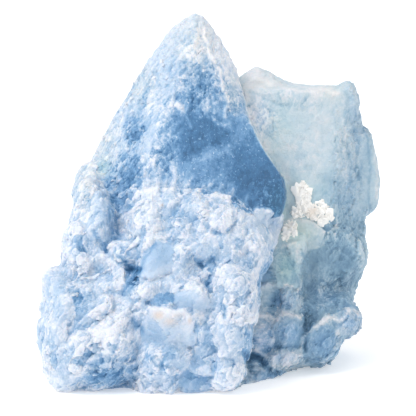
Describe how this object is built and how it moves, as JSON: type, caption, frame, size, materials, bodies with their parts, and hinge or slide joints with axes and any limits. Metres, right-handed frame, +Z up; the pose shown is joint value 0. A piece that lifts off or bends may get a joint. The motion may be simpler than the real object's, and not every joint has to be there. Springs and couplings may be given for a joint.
{
  "type": "blue calcite mineral specimen",
  "caption": "Hand-sized stone of pale blue calcite: a pointed glassy crystal over a frosted crumbly druse, grown on a smoother grey-green block, with a flat base to rest on.",
  "frame": {"origin": "middle of the bounding box at the base, on the surface that the stone rests on", "axes": "+Z up, along the pointed crystal; -Y towards the side with the window face and the druse; +X to the right as that side is seen, towards the rear block"},
  "size_m": [0.0542, 0.0496, 0.0557],
  "materials": {
    "blue_calcite": "frosted, part translucent, with a few glassy cleavage faces"
  },
  "bodies": {
    "root": {"calcite": "blue_calcite"}
  },
  "joints": []
}
